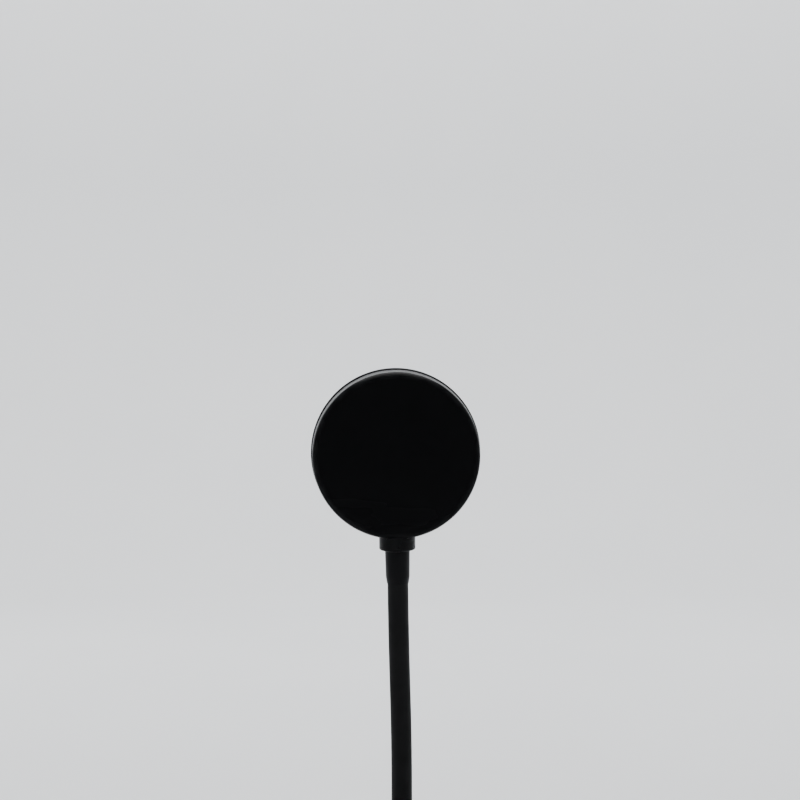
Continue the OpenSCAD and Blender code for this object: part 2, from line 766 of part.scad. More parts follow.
module lens_gasket() color(black_rubber) in_head()
    tube(2 * lens_r - 0.2, 2 * lens_lip_r + 0.2, gasket_z, gasket_z + gasket_t);

// Front ring: a lip round the drum, a shallow cone inward and a raised rim round the lens
module bezel_ring() color(black_plastic) in_head() difference() {
    lip_edge = 0.9;
    union() {
        rotate_extrude() {
            polygon([
                [lens_lip_r, gasket_z + gasket_t],
                [lens_lip_r, front_z - 0.3],
                [lens_lip_r + 0.4, front_z + 0.1],
                [lens_sleeve_r - 0.7, front_z + 0.1],
                [lens_sleeve_r, front_z - 0.6],
                [lens_sleeve_r + 0.8, front_z - 1.6],
                [lip_r - 2.2, front_z - 0.2],
                [lip_r - 1.6, front_z],
                [lip_r - lip_edge, front_z],
                [lip_r - lip_edge, front_z - lip_edge],
                [lip_r, front_z - lip_edge],
                [lip_r, rim_z + 0.3],
                [lip_r - 0.3, rim_z],
                [lens_sleeve_r, rim_z],
                [lens_sleeve_r, clamp_z],
                [lens_seat_r, clamp_z],
                [lens_seat_r, gasket_z + gasket_t]
            ]);
            translate([lip_r - lip_edge, front_z - lip_edge]) circle(lip_edge);
        }
        difference() {
            skirt_z = rim_z - 3.5;
            translate([0, 0, skirt_z]) cylinder(
                r1 = cavity_r(skirt_z) - slide_gap,
                r2 = cavity_r(rim_z) - slide_gap,
                h = rim_z - skirt_z + 0.1
            );
            translate([0, 0, skirt_z - 1]) cylinder(r = cavity_r(rim_z) - 2, h = 6);
            translate([-nut_pad_w / 2 - 0.5, -head_d, skirt_z - 1])
                cube([nut_pad_w + 1, head_d, rim_z - skirt_z + 1]);
        }
    }
}

// Lead from the neck's stem to the light source's board, with two bared ends on its pads
module head_lead() color(black_rubber) in_head() {
    board_edge_y = -led_board_d / 2 - 0.1;
    upright(lead_d, -head_centre_rise + ferrule_in, board_edge_y);
    for (x = [-0.65, 0.65]) translate([x, 0, led_face_z + 0.45])
        upright(0.8, board_edge_y - 0.1, board_edge_y + 3);
}

foot_pad();
base_plate();
base_screws();
ballast();
base_cover();
control_board();
board_screws();
usb_socket();
tact_switch();
switch_plunger();
power_button();
base_collar();
base_washer();
base_nut();
base_ferrule();
base_cuff();
base_lead();
for (k = [0:neck_joints]) {
    neck_core(k);
    neck_sleeve(k);
}
head_ferrule();
head_cuff();
head_collar();
head_nut();
head_shell();
heat_sink();
heat_sink_screws();
led_board();
led_screws();
led_emitter();
light_shroud();
lens_clamp();
filter_disc();
lens();
lens_gasket();
bezel_ring();
head_lead();
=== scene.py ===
# %% [markdown]
# # A small projection lamp
#
# The lamp has a weighted round base, a neck that bends and a drum-shaped head whose domed lens
# throws a round patch of light on a wall. The rigid pieces come from a CAD model that is already
# the right size, so this file gives them their finishes, and makes anew only what is soft: the
# rubber sleeve of the neck and the foam pad under the base.

# %% Load the frame
import json
import math

import bpy
import numpy as np
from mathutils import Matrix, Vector


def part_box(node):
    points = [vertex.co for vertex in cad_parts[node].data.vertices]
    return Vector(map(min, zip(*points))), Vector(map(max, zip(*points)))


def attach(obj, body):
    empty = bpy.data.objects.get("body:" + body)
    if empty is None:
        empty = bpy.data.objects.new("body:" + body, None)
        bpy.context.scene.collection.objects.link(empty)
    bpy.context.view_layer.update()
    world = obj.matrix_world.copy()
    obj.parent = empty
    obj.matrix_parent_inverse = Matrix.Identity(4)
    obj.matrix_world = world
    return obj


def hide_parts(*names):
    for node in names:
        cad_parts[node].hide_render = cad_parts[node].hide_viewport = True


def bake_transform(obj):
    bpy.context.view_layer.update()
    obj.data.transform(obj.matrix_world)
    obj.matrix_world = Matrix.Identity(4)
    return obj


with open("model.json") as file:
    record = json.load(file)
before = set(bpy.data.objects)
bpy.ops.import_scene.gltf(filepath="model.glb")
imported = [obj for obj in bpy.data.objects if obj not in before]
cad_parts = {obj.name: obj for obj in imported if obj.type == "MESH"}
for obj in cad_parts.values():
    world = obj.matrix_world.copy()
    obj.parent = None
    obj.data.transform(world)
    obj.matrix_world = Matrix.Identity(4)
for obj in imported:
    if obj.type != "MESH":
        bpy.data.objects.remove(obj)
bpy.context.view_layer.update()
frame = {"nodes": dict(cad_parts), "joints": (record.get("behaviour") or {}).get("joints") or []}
nodes, joints = frame["nodes"], frame["joints"]
print("nodes:", len(nodes), "joints:", len(joints))

MM = 0.001

# %% [markdown]
# ## Where the head points
#
# The head leans back and is turned a little on the neck, so patterns that run round its axis need
# that axis. The colour filter is a plain round disc inside the head: the direction in which its
# points spread least is the head's axis. An eigenvector of their covariance gives it without any
# number copied from the CAD model.


# %% Axis of the head
def points_of(node):
    """All vertices of a CAD node as an array of rows x, y, z, in metres."""
    mesh = nodes[node].data
    flat = np.zeros(len(mesh.vertices) * 3, np.float32)
    mesh.vertices.foreach_get("co", flat)
    return flat.reshape(-1, 3).astype(float)


def disc_axis(node, towards):
    """Middle and unit axis of a thin disc: the axis is the eigenvector with the least spread,
    pointing to the side of the direction towards."""
    points = np.unique(points_of(node).round(6), axis=0)
    middle = (points.min(axis=0) + points.max(axis=0)) / 2
    spread = np.cov((points - middle).T)
    axis = np.linalg.eigh(spread)[1][:, 0]
    return middle, axis * np.sign(axis @ np.array(towards))


head_middle, head_axis = disc_axis("filter_disc", towards=(0, -1, 0))
print("head middle, mm:", (head_middle / MM).round(2), "axis:", head_axis.round(3))

# %% [markdown]
# ## Camera
#
# The photograph looks at the lamp from behind, from about 70 cm away, a little higher than the
# middle of the head and tipped up by a degree or so. The base lies below the picture's edge. The
# lens and the distance together give the perspective, which shows in how far the far rim of the
# head stands out over the near one.

# %% Camera
CAMERA_PLACE = (0.87 * MM, 710 * MM, 218.5 * MM)
CAMERA_TIP = math.radians(1.5)
CAMERA_LENS_MM = 65.4


def add_camera(place, tip, lens_mm):
    """A camera that looks along -Y, tipped up from level."""
    data = bpy.data.cameras.new("camera")
    data.lens, data.sensor_width = lens_mm, 36.0
    data.clip_start, data.clip_end = 0.01, 50.0
    camera = bpy.data.objects.new("camera", data)
    camera.location = place
    camera.rotation_euler = (math.radians(90) + tip, 0, math.radians(180))
    bpy.context.scene.collection.objects.link(camera)
    bpy.context.scene.camera = camera


add_camera(CAMERA_PLACE, CAMERA_TIP, CAMERA_LENS_MM)
print("camera at", CAMERA_PLACE)

# %% [markdown]
# ## From a grid of points to a mesh
#
# Every new piece here is a surface over two parameters, computed as one array of points. Rows run
# along the piece and columns round it. One helper turns such a grid into a mesh: it joins the last
# column to the first, and it can close each end with a fan of triangles.

# %% Grid helper
SHARP_ANGLE = math.radians(50)


def grid_faces(rows, columns):
    """Quads between neighbouring points of a grid whose columns close on themselves."""
    r, c = np.meshgrid(np.arange(rows - 1), np.arange(columns), indexing="ij")
    nxt = (c + 1) % columns
    quads = np.stack([r * columns + c, r * columns + nxt,
                      (r + 1) * columns + nxt, (r + 1) * columns + c], axis=-1)
    return quads.reshape(-1, 4)


def fan_faces(row, columns, middle):
    """Triangles from a row of the grid to the vertex at its middle, facing out at either end."""
    c = row * columns + np.arange(columns)
    nxt = row * columns + (np.arange(columns) + 1) % columns
    pair = (nxt, c) if row == 0 else (c, nxt)
    return np.stack([np.full(columns, middle), *pair], axis=-1)


def grid_piece(name, points, material, ends="closed"):
    """A mesh object from points[row, column] = x, y, z. Its ends are "closed" by a fan to the
    middle of each end row, "joined", the last row to the first, or only the "last" is closed."""
    rows, columns = points.shape[:2]
    vertices = points.reshape(-1, 3)
    if ends == "joined":
        faces = (grid_faces(rows + 1, columns) % (rows * columns)).tolist()
    else:
        faces = grid_faces(rows, columns).tolist()
        for row in {"closed": (0, rows - 1), "last": (rows - 1,)}[ends]:
            faces += fan_faces(row, columns, len(vertices)).tolist()
            vertices = np.vstack([vertices, points[row].mean(axis=0)])
    mesh = bpy.data.meshes.new(name)
    mesh.from_pydata(vertices.tolist(), [], faces)
    mesh.polygons.foreach_set("use_smooth", np.ones(len(mesh.polygons), bool))
    mesh.set_sharp_from_angle(angle=SHARP_ANGLE)
    mesh.materials.append(material)
    mesh.update()
    piece = bpy.data.objects.new(name, mesh)
    bpy.context.scene.collection.objects.link(piece)
    print(name, "faces:", len(mesh.polygons))
    return piece


# %% [markdown]
# ## Tools for materials
#
# A finish is a network of nodes. A few small helpers keep the code short: they make a node and
# give its inputs their values, and the most used kinds have a helper of their own. An input takes
# either a constant or another node's output, and one function tells the two apart. Every pattern
# reads Object coordinates, so that its grain has one real size on all the pieces.


# %% Node helpers
def feed(tree, socket, value):
    """Gives an input its value: a link where the value is another node's output, and otherwise a
    constant, to which a colour's alpha is added."""
    if isinstance(value, bpy.types.NodeSocket):
        tree.links.new(value, socket)
    else:
        socket.default_value = (*value, 1) if socket.type == "RGBA" else value


def set_inputs(tree, node, **values):
    """Feeds a node's inputs by name, with _ for a space."""
    for key, value in values.items():
        feed(tree, node.inputs[key.replace("_", " ")], value)
    return node


def add_node(tree, kind, values=None, **settings):
    """A node of a kind, with settings on the node and values on its inputs."""
    node = tree.nodes.new(kind)
    for key, value in settings.items():
        setattr(node, key, value)
    for key, value in (values or {}).items():
        feed(tree, node.inputs[key], value)
    return node


def new_material(name, colour, roughness, **values):
    """A material with a Principled BSDF. Colour is linear RGB."""
    material = bpy.data.materials.new(name)
    material.use_nodes = True
    tree = material.node_tree
    shader = tree.nodes["Principled BSDF"]
    set_inputs(tree, shader, Base_Color=colour, Roughness=roughness, **values)
    return material, tree, shader


def object_coordinates(tree):
    """Object coordinates of the piece, in metres."""
    return add_node(tree, "ShaderNodeTexCoord").outputs["Object"]


# %% [markdown]
# ## The nodes that finishes use most
#
# Most patterns here are noise. The number of its lumps in a metre sets the size of what it draws,
# from grain to clouds, and coordinates that are stretched first turn its lumps into lines. A Map
# Range node cuts noise down to the gloss or height wanted, a Mix node blends two colours by a
# mask, and a Bump node turns a pattern into relief of a real depth.


# %% Helpers for the most used nodes
def maths(tree, operation, *values, **settings):
    """Result of a Math node."""
    return add_node(tree, "ShaderNodeMath", dict(enumerate(values)), operation=operation,
                    **settings).outputs["Value"]


def length_of(tree, vector):
    """Length of a vector."""
    return add_node(tree, "ShaderNodeVectorMath", {0: vector},
                    operation="LENGTH").outputs["Value"]


def radius_from_axis(tree, vector):
    """Distance of a vector's point from the Z axis."""
    flat = add_node(tree, "ShaderNodeVectorMath", {0: vector, 1: (1, 1, 0)}, operation="MULTIPLY")
    return length_of(tree, flat.outputs["Vector"])


def noise(tree, vector, scale, detail, **values):
    """Noise of so many lumps a metre, with so many finer layers on top."""
    node = add_node(tree, "ShaderNodeTexNoise", {"Vector": vector, "Scale": scale,
                                                 "Detail": detail, **values})
    return node.outputs["Fac"]


def stretched(tree, vector, scale, turn=(0, 0, 0)):
    """Coordinates turned and scaled by axis, which draws a pattern out into lines."""
    return add_node(tree, "ShaderNodeMapping", {"Vector": vector, "Rotation": turn,
                                                "Scale": scale}).outputs["Vector"]


def map_range(tree, value, given, wanted, **settings):
    """Value carried from the given range to the wanted one, and held at its ends."""
    node = add_node(tree, "ShaderNodeMapRange",
                    {"Value": value, "From Min": given[0], "From Max": given[1],
                     "To Min": wanted[0], "To Max": wanted[1]}, **settings)
    return node.outputs["Result"]


def mix(tree, kind, share, a, b):
    """Mix of two colours (kind "RGBA") or numbers ("FLOAT"): a at share 0, b at share 1."""
    return add_node(tree, "ShaderNodeMix", {"Factor": share, "A": a, "B": b},
                    data_type=kind).outputs["Result"]


def add_relief(tree, shader, height, depth):
    """A Bump node whose full height is a depth in metres, on the shader's normal."""
    bump = add_node(tree, "ShaderNodeBump", {"Strength": 1.0, "Distance": depth,
                                             "Height": height})
    set_inputs(tree, shader, Normal=bump.outputs["Normal"])


# %% [markdown]
# ## Effects that several finishes share
#
# Grain, dust, worn edges and turned rings are node groups, built once, with named inputs and
# outputs. Each material places them with its own values.

# %% Group helpers
FLOAT, VECTOR = "NodeSocketFloat", "NodeSocketVector"


def new_group(name, inputs, outputs):
    """An empty node group with sockets, and what it is given and puts out. Inputs are (name,
    kind, default) and outputs are (name, kind)."""
    group = bpy.data.node_groups.new(name, "ShaderNodeTree")
    for label, kind, default in inputs:
        socket = group.interface.new_socket(label, in_out="INPUT", socket_type=kind)
        if default is not None:
            socket.default_value = default
    for label, kind in outputs:
        group.interface.new_socket(label, in_out="OUTPUT", socket_type=kind)
    return group, group.nodes.new("NodeGroupInput").outputs, group.nodes.new("NodeGroupOutput")


def use_group(tree, group, **values):
    """The outputs of a placed node group. Values are its inputs by name, with _ for a space."""
    node = add_node(tree, "ShaderNodeGroup", node_tree=group)
    return set_inputs(tree, node, **values).outputs


# %% [markdown]
# ## Shared effect: moulded grain
#
# Black plastic housings come out of a spark-eroded mould, which leaves a fine, even grain of
# shallow pits some tenths of a millimetre apart. Noise at two scales makes it: the fine one is the
# grain, the coarse one lets it fade in and out a little, as it does where a hand has rubbed.

# %% Grain group
FADED = 0.6
RUBBED_PATCHES = (0.42, 0.68)


def build_grain_group():
    """Grain height = fine noise x fade, where the coarse noise takes the fade from FADED to 1, and
    a rubbed mask that rises from 0 to 1 over the RUBBED_PATCHES range of the coarse noise."""
    group, given, out = new_group(
        "moulded_grain",
        [("Vector", VECTOR, None), ("Grains per Metre", FLOAT, 3000.0)],
        [("Height", FLOAT), ("Rubbed", FLOAT)],
    )
    where = given["Vector"]
    fine = noise(group, where, scale=given["Grains per Metre"], detail=2.0, Roughness=0.6)
    coarse = noise(group, where, scale=45.0, detail=3.0)
    fade = map_range(group, coarse, (0.3, 0.7), (FADED, 1.0))
    set_inputs(group, out, Height=maths(group, "MULTIPLY", fine, fade),
               Rubbed=map_range(group, coarse, RUBBED_PATCHES, (0.0, 1.0)))
    return group


grain_group = build_grain_group()
print("group:", grain_group.name)

# %% [markdown]
# ## Shared effect: dust
#
# Nothing black stays clean on a desk. Dust settles on what faces up, thins out down the sides and
# lies in tiny specks over a thin film. The mask is the upward part of the surface normal times
# specks and film, and the materials use it to lighten the colour a little and to dull the gloss.

# %% Dust group
DUST_ON_SIDES = 0.04
FILM_SHARE = 0.25
SPECK_EDGE = (0.05, 0.16)


def build_dust_group():
    """Dust = amount x up-facing share x (specks + film). A speck is the middle of a cell: it is
    whole up to SPECK_EDGE[0] from the cell's point and gone at SPECK_EDGE[1], in cell widths."""
    group, given, out = new_group(
        "settled_dust",
        [("Vector", VECTOR, None), ("Amount", FLOAT, 0.5), ("Specks per Metre", FLOAT, 900.0)],
        [("Dust", FLOAT)],
    )
    where = given["Vector"]
    facing = add_node(group, "ShaderNodeTexCoord").outputs["Normal"]
    axes = add_node(group, "ShaderNodeSeparateXYZ", {"Vector": facing}).outputs
    upward = map_range(group, axes["Z"], (0.0, 0.9), (DUST_ON_SIDES, 1.0))
    cells = add_node(group, "ShaderNodeTexVoronoi",
                     {"Vector": where, "Scale": given["Specks per Metre"]})
    specks = map_range(group, cells.outputs["Distance"], SPECK_EDGE, (1.0, 0.0))
    film = noise(group, where, scale=60.0, detail=4.0)
    both = maths(group, "MULTIPLY_ADD", film, FILM_SHARE, specks)
    lying = maths(group, "MULTIPLY", both, upward)
    set_inputs(group, out,
               Dust=maths(group, "MULTIPLY", lying, given["Amount"], use_clamp=True))
    return group


dust_group = build_dust_group()
print("group:", dust_group.name)

# %% [markdown]
# ## Shared effect: rubbed edges
#
# Hands and cloths rub a finish most where it stands out, along its edges. The edges that matter
# here are circles: the drum's back edge, the bezel's front edge and the base's upper edge. So the
# wear is a mask that falls off with the distance from a circle, broken up by noise, and the
# materials use it to polish the edge and to lighten it a little.

# %% Edge group
LEAST_RUBBED = 0.15


def build_edge_group():
    """Rub = smooth step of (1 - distance / reach) x patches, where the distance runs from the
    circle of a radius at a height on the Z axis, and the patches go from LEAST_RUBBED to 1."""
    group, given, out = new_group(
        "rubbed_edge",
        [("Vector", VECTOR, None), ("Radius", FLOAT, 0.04), ("Height", FLOAT, 0.0),
         ("Reach", FLOAT, 0.003)],
        [("Rub", FLOAT)],
    )
    where = given["Vector"]
    height = add_node(group, "ShaderNodeSeparateXYZ", {"Vector": where}).outputs["Z"]
    across = maths(group, "SUBTRACT", radius_from_axis(group, where), given["Radius"])
    along = maths(group, "SUBTRACT", height, given["Height"])
    off = add_node(group, "ShaderNodeCombineXYZ", {"X": across, "Y": along}).outputs["Vector"]
    near = map_range(group, length_of(group, off), (0.0, given["Reach"]), (1.0, 0.0),
                     interpolation_type="SMOOTHSTEP")
    lumps = noise(group, where, scale=160.0, detail=5.0)
    patches = map_range(group, lumps, (0.38, 0.62), (LEAST_RUBBED, 1.0))
    set_inputs(group, out, Rub=maths(group, "MULTIPLY", near, patches))
    return group


edge_group = build_edge_group()
print("group:", edge_group.name)

# %% [markdown]
# ## Shared effect: turned metal
#
# A turned face carries fine rings round its axis: noise that hardly changes along the ring, and
# many times a millimetre across it. The distance from the axis is the pattern's coordinate.


# %% Turned metal group
def build_turned_group():
    """Ring height = noise of the distance from the Z axis, on coordinates already turned so that
    Z is the piece's axis. Tone is a slow noise for the gloss."""
    group, given, out = new_group(
        "turned_rings",
        [("Vector", VECTOR, None), ("Rings per Metre", FLOAT, 4000.0)],
        [("Height", FLOAT), ("Tone", FLOAT)],
    )
    where = given["Vector"]
    scaled = maths(group, "MULTIPLY", radius_from_axis(group, where), given["Rings per Metre"])
    rings = add_node(group, "ShaderNodeTexNoise", noise_dimensions="1D")
    set_inputs(group, rings, W=scaled, Detail=2.0)
    set_inputs(group, out, Height=rings.outputs["Fac"],
               Tone=noise(group, where, scale=120.0, detail=3.0))
    return group


turned_group = build_turned_group()
print("group:", turned_group.name)

# %% [markdown]
# ## Round edges and where they are
#
# A finish that knows its piece's edges needs two coordinates. On the base they are plain Object
# coordinates, whose Z axis is the base's own. In the head, a Mapping node moves the coordinates to
# the middle of the head and turns them so that Z is the head's axis. The circle of an edge is then
# measured on the piece itself.


# %% Head coordinates
def head_turn():
    """Angles about X, Y and Z that turn the head's axis onto +Z: first about Z into the YZ plane,
    then about X. A Mapping node of type TEXTURE undoes its rotation, so the same angles do it."""
    x, y, z = head_axis
    about_z = math.atan2(x, -y)
    about_x = math.atan2(math.hypot(x, y), z)
    return about_x, 0.0, about_z


def head_coordinates(tree):
    """Object coordinates with the head's middle as origin and its axis as Z."""
    values = {"Vector": object_coordinates(tree), "Location": tuple(head_middle),
              "Rotation": head_turn()}
    return add_node(tree, "ShaderNodeMapping", values, vector_type="TEXTURE").outputs["Vector"]


def edge_rub(tree, coordinates, edge, reach):
    """The rubbed-edge mask along a circle, given as its radius and height in coordinates."""
    return use_group(tree, edge_group, Vector=coordinates(tree), Radius=edge[0], Height=edge[1],
                     Reach=reach)["Rub"]


def edge_circle(node, end, round_r, middle=(0, 0, 0), axis=(0, 0, 1)):
    """Radius and height of the middle of a rounded outer edge, at the high end (+1) or the low
    end (-1) of a round piece: its corner, moved in both ways by round_r (1 - cos 45 degrees)."""
    rel = points_of(node) - np.array(middle)
    height = rel @ np.array(axis)
    radius = np.linalg.norm(rel - height[:, None] * np.array(axis), axis=1)
    corner = (height * end).max()
    near_end = height * end > corner - 2 * round_r
    inset = round_r * (1 - math.cos(math.pi / 4))
    return radius[near_end].max() - inset, end * (corner - inset)


base_edge = edge_circle("base_cover", +1, round_r=3 * MM)
drum_edge = edge_circle("head_shell", -1, 3 * MM, head_middle, head_axis)
bezel_edge = edge_circle("bezel_ring", +1, 1 * MM, head_middle, head_axis)
print("edges, mm:", [(round(r / MM, 1), round(h / MM, 1))
                     for r, h in (base_edge, drum_edge, bezel_edge)])

# A hand moves the lamp about by the base's upper edge, the head is laid down on the bezel's front
# edge, and it is turned by the drum's back edge. Each row is what edge_rub takes: the coordinates,
# the edge and how far from it the wear reaches.
BASE_RUB = (object_coordinates, base_edge, 3.5 * MM)
BEZEL_RUB = (head_coordinates, bezel_edge, 1.5 * MM)
DRUM_RUB = (head_coordinates, drum_edge, 3.0 * MM)

# %% [markdown]
# ## Black moulded plastic
#
# The base's cover, its bottom plate, the cuffs and the bezel are the same black plastic with
# different grain. One function makes them all: grain into a Bump node, rubbed places a little
# smoother, dust a little lighter and duller. Where an edge is rubbed, the grain is worn flatter.

# %% Plastics
MICRON = 0.001 * MM
BLACK = (0.0075, 0.0075, 0.0085)
DUST_ON_PLASTIC = (0.13, 0.127, 0.122)
DUSTY_ROUGHNESS = 0.8
GRAIN_DULLER, RUBBED_SMOOTHER, WORN_SMOOTHER = 0.05, 0.06, 0.14
WORN_HEIGHT = 0.45


def moulded_plastic(name, colour, roughness, grains, depth, dust=0.0, rub=None, level=0.32):
    """Black plastic with a moulded grain: so many grains a metre, and their depth in metres. Rub
    says which edge wears, as edge_rub takes it, and level is the specular level. Inside the
    housings there is no dust, and the colour is one constant."""
    material, tree, shader = new_material(name, colour, roughness, Specular_IOR_Level=level)
    where = object_coordinates(tree)
    grain = use_group(tree, grain_group, Vector=where, Grains_per_Metre=grains)
    height = grain["Height"]
    gloss = map_range(tree, grain["Rubbed"], (0.0, 1.0),
                      (roughness + GRAIN_DULLER, roughness - RUBBED_SMOOTHER))
    if dust:
        lying = use_group(tree, dust_group, Vector=where, Amount=dust)["Dust"]
        gloss = mix(tree, "FLOAT", lying, gloss, DUSTY_ROUGHNESS)
        set_inputs(tree, shader, Base_Color=mix(tree, "RGBA", lying, colour, DUST_ON_PLASTIC))
    if rub:
        worn = edge_rub(tree, *rub)
        height = mix(tree, "FLOAT", worn, height, WORN_HEIGHT)
        gloss = mix(tree, "FLOAT", worn, gloss, roughness - WORN_SMOOTHER)
    add_relief(tree, shader, height, depth)
    set_inputs(tree, shader, Roughness=gloss)
    return material


base_plastic = moulded_plastic("base_plastic", BLACK, roughness=0.42, grains=2600.0,
                               depth=70 * MICRON, dust=0.35, rub=BASE_RUB)
cuff_plastic = moulded_plastic("cuff_plastic", BLACK, roughness=0.38, grains=3600.0,
                               depth=30 * MICRON, dust=0.2, level=0.16)
bezel_plastic = moulded_plastic("bezel_plastic", BLACK, roughness=0.34, grains=3000.0,
                                depth=45 * MICRON, dust=0.2, rub=BEZEL_RUB)
button_plastic = moulded_plastic("button_plastic", (0.016, 0.016, 0.018), roughness=0.24,
                                 grains=4600.0, depth=12 * MICRON, dust=0.07)
shroud_plastic = moulded_plastic("shroud_plastic", (0.006, 0.006, 0.006), roughness=0.62,
                                 grains=2600.0, depth=30 * MICRON)
switch_plastic = moulded_plastic("switch_plastic", (0.014, 0.014, 0.014), roughness=0.5,
                                 grains=3000.0, depth=10 * MICRON)
print("plastics made")

# %% [markdown]
# ## Black lacquer on metal
#
# The drum and both collars are metal under satin black lacquer. In the photograph the drum's
# side, seen at a very flat angle, mirrors the bright wall as a pale crescent over the black back,
# at about half the wall's brightness, while the back itself stays black. That is what a dark
# satin dielectric does: it reflects little when seen square on and much when seen flat. A low
# specular level and a middling roughness give it, with no extra coat. Orange peel, the slow
# ripple of any sprayed finish, and a haze where a cloth has wiped it keep the reflections from
# being perfect.

# %% Lacquer
LACQUER_BLACK = (0.0045, 0.0045, 0.0052)
DUST_ON_LACQUER = (0.12, 0.12, 0.118)
THIN_LACQUER = (0.016, 0.016, 0.017)
PEEL_DEPTH = 2.5 * MICRON
WIPE_TURN, WIPE_STRETCH = (0, 0.6, 0), (0.35, 1.0, 1.6)
WIPED_SMOOTHER, SMEARED_DULLER, THIN_SMOOTHER = 0.03, 0.06, 0.06


def lacquer(name, roughness, dust, level, rub=None):
    """Satin black lacquer: low specular level, orange peel, wiped haze, a little dust and, along
    an edge, lacquer that hands have rubbed thin and shiny."""
    material, tree, shader = new_material(name, LACQUER_BLACK, roughness,
                                          Specular_IOR_Level=level)
    where = object_coordinates(tree)
    add_relief(tree, shader, noise(tree, where, scale=520.0, detail=1.0), PEEL_DEPTH)
    lying = use_group(tree, dust_group, Vector=where, Amount=dust, Specks_per_Metre=800.0)["Dust"]
    tint = mix(tree, "RGBA", lying, LACQUER_BLACK, DUST_ON_LACQUER)
    strokes = stretched(tree, where, WIPE_STRETCH, WIPE_TURN)
    gloss = map_range(tree, noise(tree, strokes, scale=30.0, detail=3.0), (0.3, 0.75),
                      (roughness - WIPED_SMOOTHER, roughness + SMEARED_DULLER))
    if rub:
        worn = edge_rub(tree, *rub)
        tint = mix(tree, "RGBA", worn, tint, THIN_LACQUER)
        gloss = mix(tree, "FLOAT", worn, gloss, roughness - THIN_SMOOTHER)
    set_inputs(tree, shader, Base_Color=tint, Roughness=gloss)
    return material


head_lacquer = lacquer("head_lacquer", roughness=0.24, dust=0.3, level=0.1, rub=DRUM_RUB)
collar_lacquer = lacquer("collar_lacquer", roughness=0.28, dust=0.2, level=0.18)
print("lacquers made")

# %% [markdown]
# ## Bare metals
#
# Screws, nuts, washers, ferrules and the neck's core are zinc-plated steel, with a mottled gloss
# and fine scratches. The heat sink is turned aluminium, so its rings run round the head's axis.

# %% Metals
SCRATCH_STRETCH = (400, 400, 6000)


def plated_steel(name, colour, roughness):
    """Zinc-plated steel: a mottled gloss and fine scratches square to Z."""
    material, tree, shader = new_material(name, colour, roughness, Metallic=1.0)
    where = object_coordinates(tree)
    mottle = noise(tree, where, scale=900.0, detail=4.0)
    scratch = noise(tree, stretched(tree, where, SCRATCH_STRETCH), scale=1.0, detail=2.0)
    add_relief(tree, shader, scratch, 6 * MICRON)
    set_inputs(tree, shader, Roughness=map_range(tree, mottle, (0.0, 1.0),
                                                 (roughness - 0.08, roughness + 0.12)))
    return material


def turned_aluminium(name, colour, roughness):
    """Aluminium with turning rings round the head's axis."""
    material, tree, shader = new_material(name, colour, roughness, Metallic=1.0)
    rings = use_group(tree, turned_group, Vector=head_coordinates(tree), Rings_per_Metre=5000.0)
    add_relief(tree, shader, rings["Height"], 8 * MICRON)
    set_inputs(tree, shader, Roughness=map_range(tree, rings["Tone"], (0.0, 1.0),
                                                 (roughness - 0.06, roughness + 0.1)))
    return material


steel = plated_steel("zinc_plated_steel", (0.52, 0.53, 0.55), roughness=0.32)
aluminium = turned_aluminium("turned_aluminium", (0.78, 0.79, 0.8), roughness=0.3)
print("metals made")

# %% [markdown]
# ## Cast iron, circuit board and other hidden pieces
#
# The ballast, the boards and the leads are out of sight inside the housings, but each still gets
# its own finish, so that the lamp also looks right when someone takes it apart.

# %% Hidden finishes
RESIST_GREEN, TRACK_GREEN = (0.012, 0.085, 0.035), (0.02, 0.13, 0.055)


def rough_cast(name, colour):
    """As-cast iron: lumps with finer lumps on them, rougher where they stand out."""
    material, tree, shader = new_material(name, colour, 0.7, Metallic=0.6)
    lumps = noise(tree, object_coordinates(tree), scale=500.0, detail=6.0, Roughness=0.7)
    add_relief(tree, shader, lumps, 200 * MICRON)
    set_inputs(tree, shader, Roughness=map_range(tree, lumps, (0.0, 1.0), (0.55, 0.85)))
    return material


def circuit_board(name):
    """Green solder resist over copper tracks: the tracks are a grid of bands, slightly raised."""
    material, tree, shader = new_material(name, RESIST_GREEN, 0.35)
    bricks = add_node(tree, "ShaderNodeTexBrick",
                      {"Vector": object_coordinates(tree), "Scale": 260.0, "Mortar Size": 0.12,
                       "Mortar Smooth": 0.1, "Color1": RESIST_GREEN, "Color2": RESIST_GREEN,
                       "Mortar": TRACK_GREEN})
    add_relief(tree, shader, bricks.outputs["Fac"], 30 * MICRON)
    set_inputs(tree, shader, Base_Color=bricks.outputs["Color"])
    return material


cast_iron = rough_cast("cast_iron", (0.09, 0.09, 0.095))
green_board = circuit_board("circuit_board")
lead_jacket = moulded_plastic("lead_jacket", (0.018, 0.018, 0.018), roughness=0.45,
                              grains=1500.0, depth=15 * MICRON)
seal_rubber = moulded_plastic("seal_rubber", (0.014, 0.014, 0.014), roughness=0.6,
                              grains=1800.0, depth=20 * MICRON)
print("hidden finishes made")

# %% [markdown]
# ## The light source and its optics
#
# Looking into the lens, one sees the square light source with its round yellow phosphor, on a
# white board, through a clear dome and a coated colour filter. The phosphor glows softly. The
# filter is what makes the coloured rings: its coating passes a pale cyan in the middle, then
# blue and violet, and red at the rim, so its tint is a ramp over the distance from the axis.

# %% Light source
PHOSPHOR_R, PHOSPHOR_FADE_R = 4.2 * MM, 4.8 * MM
PHOSPHOR_YELLOW, FRAME_WHITE = (0.85, 0.6, 0.08), (0.8, 0.78, 0.72)
GLOW_COLOUR, GLOW_STRENGTH = (1.0, 0.82, 0.5), 6.0
FILTER_R = 25.5 * MM
RING_COLOURS = [(0.0, (0.62, 0.95, 0.97)), (1.0, (0.75, 0.03, 0.02)),
                (0.35, (0.22, 0.72, 0.9)), (0.6, (0.16, 0.3, 0.85)),
                (0.78, (0.42, 0.1, 0.75)), (0.92, (0.9, 0.12, 0.4))]


